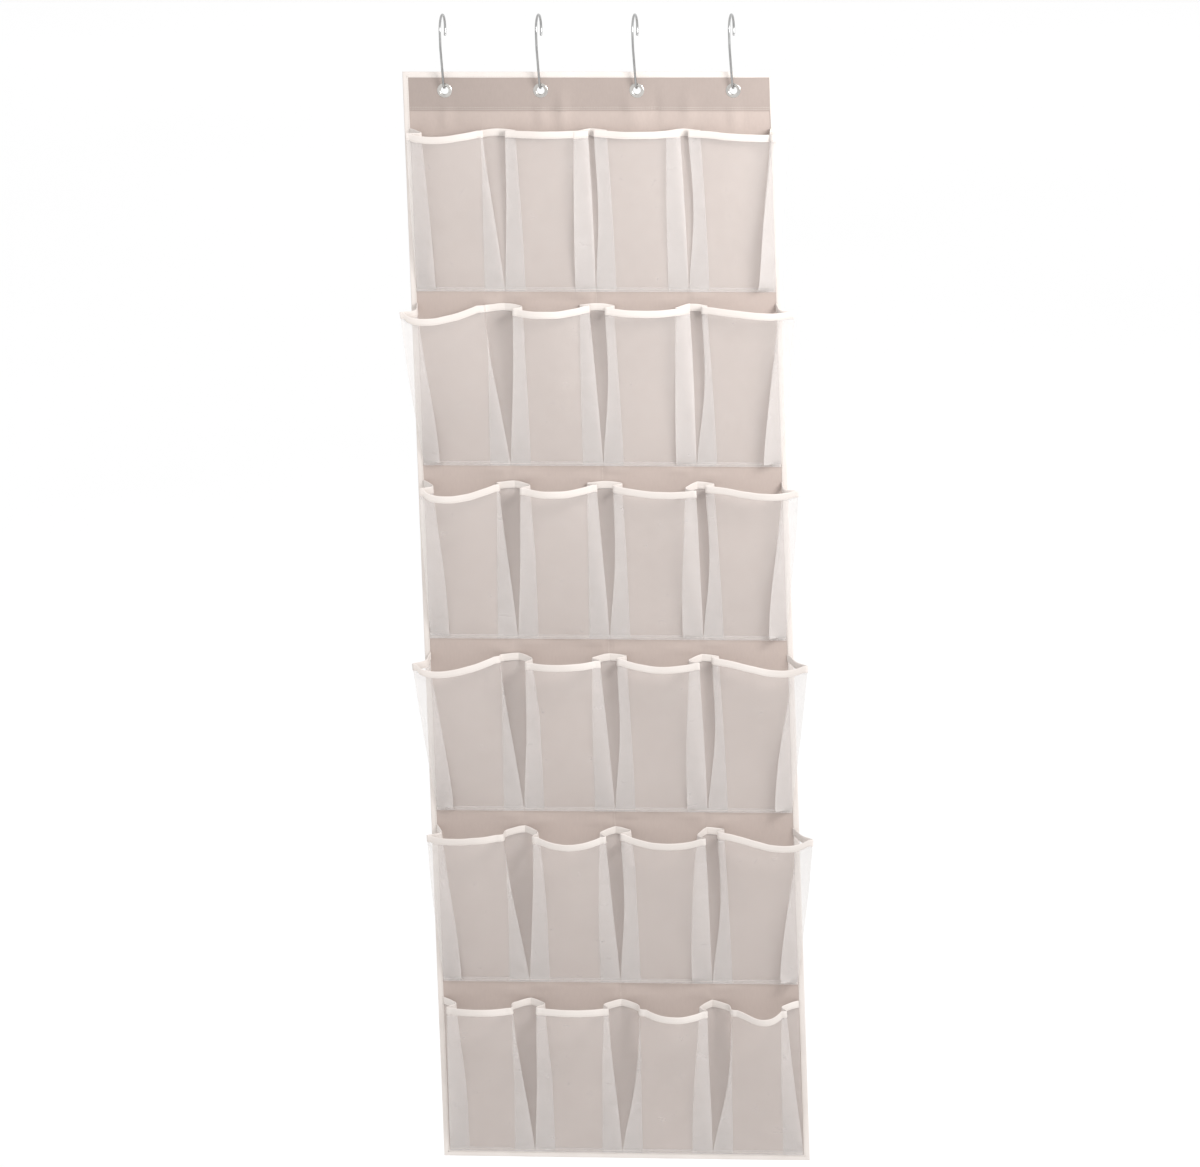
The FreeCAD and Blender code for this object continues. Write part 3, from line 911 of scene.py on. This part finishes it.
def build_pockets():
    for row in range(ROWS):
        body = f"row_{row + 1}"
        hem = strip_hem(row)
        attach(hem, body)
        for column in range(COLUMNS):
            cloth, shape, length = pocket(row, column)
            tape = rim_tape(row, column, shape)
            label = f"r{row + 1}c{column + 1}"
            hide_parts(f"pocket_front_{label}", f"pocket_gussets_{row + 1}")
            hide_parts(f"rim_tape_{row + 1}")
            for piece, slot in ((cloth, "pocket_mesh"), (tape, "binding")):
                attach(piece, body)
                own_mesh(piece)


def dress_metal():
    """The hooks and eyelets are the CAD parts themselves, with their finish."""
    for name, node in frame["nodes"].items():
        if name.startswith("hook"):
            finish = WIRE
        elif name.startswith("eyelet"):
            finish = EYELET
        else:
            continue
        node.data.materials.clear()
        node.data.materials.append(finish)


# --- stage, light and camera -------------------------------------------------------------------------------

CAMERA_YAW, CAMERA_PITCH, CAMERA_ROLL = math.radians(9.84), math.radians(13.94), math.radians(-2.04)
CAMERA_TARGET = Vector((-0.0083, 0.0, -0.7304))
CAMERA_DISTANCE = 18.09
CAMERA_LENS = 420.0
FLOOR_SIZE, FLOOR_DROP = 60.0, 0.45
ROOM_LIGHT = 1.06
KEY_PLACE, KEY_TARGET = Vector((1.05, -0.95, 0.25)), Vector((0.1, 0, -0.45))
KEY_SIZE, KEY_POWER = 0.7, 22.0


def build_camera():
    """A long lens from in front, a little above and to the right."""
    look = Vector((
        -math.sin(CAMERA_YAW) * math.cos(CAMERA_PITCH),
        math.cos(CAMERA_YAW) * math.cos(CAMERA_PITCH),
        -math.sin(CAMERA_PITCH),
    ))
    level = Vector((math.cos(CAMERA_YAW), math.sin(CAMERA_YAW), 0.0))
    above = level.cross(look)
    right = level * math.cos(CAMERA_ROLL) + above * math.sin(CAMERA_ROLL)
    up = above * math.cos(CAMERA_ROLL) - level * math.sin(CAMERA_ROLL)
    data = bpy.data.cameras.new("camera")
    data.lens, data.sensor_width = CAMERA_LENS, 36.0
    data.clip_start, data.clip_end = 0.1, 200.0
    camera = bpy.data.objects.new("camera", data)
    turn = Matrix((right, up, -look)).transposed().to_4x4()
    camera.matrix_world = Matrix.Translation(CAMERA_TARGET - look * CAMERA_DISTANCE) @ turn
    bpy.context.scene.collection.objects.link(camera)
    bpy.context.scene.camera = camera


def build_floor():
    size, z = FLOOR_SIZE, cad_low.z - FLOOR_DROP
    mesh = bpy.data.meshes.new("floor")
    corners = [(-size, -size, z), (size, -size, z), (size, size, z), (-size, size, z)]
    mesh.from_pydata(corners, [], [(0, 1, 2, 3)])
    floor = bpy.data.objects.new("floor", mesh)
    bpy.context.scene.collection.objects.link(floor)
    n = Nodes("floor_paint")
    n.set(
        Base_Color=n.ramp(n.noise(n.object_place(), 0.4), (0.93, 0.93, 0.93), (0.95, 0.95, 0.95)),
        Roughness=0.9,
        Specular_IOR_Level=0.1,
    )
    mesh.materials.append(n.material)


def build_light():
    """A bright, even room, with a soft lamp close by, high on the right."""
    world = bpy.data.worlds.new("room")
    world.use_nodes = True
    world.node_tree.nodes["Background"].inputs["Color"].default_value = (1.0, 1.0, 1.0, 1.0)
    world.node_tree.nodes["Background"].inputs["Strength"].default_value = ROOM_LIGHT
    bpy.context.scene.world = world
    data = bpy.data.lights.new("key", "AREA")
    data.shape, data.size, data.energy = "DISK", KEY_SIZE, KEY_POWER
    lamp = bpy.data.objects.new("key", data)
    lamp.location = KEY_PLACE
    lamp.rotation_euler = (KEY_TARGET - KEY_PLACE).to_track_quat("-Z", "Y").to_euler()
    bpy.context.scene.collection.objects.link(lamp)
    bpy.context.scene.view_settings.view_transform = "Standard"


build_panel()
build_header()
build_pockets()
dress_metal()
build_camera()
build_floor()
build_light()
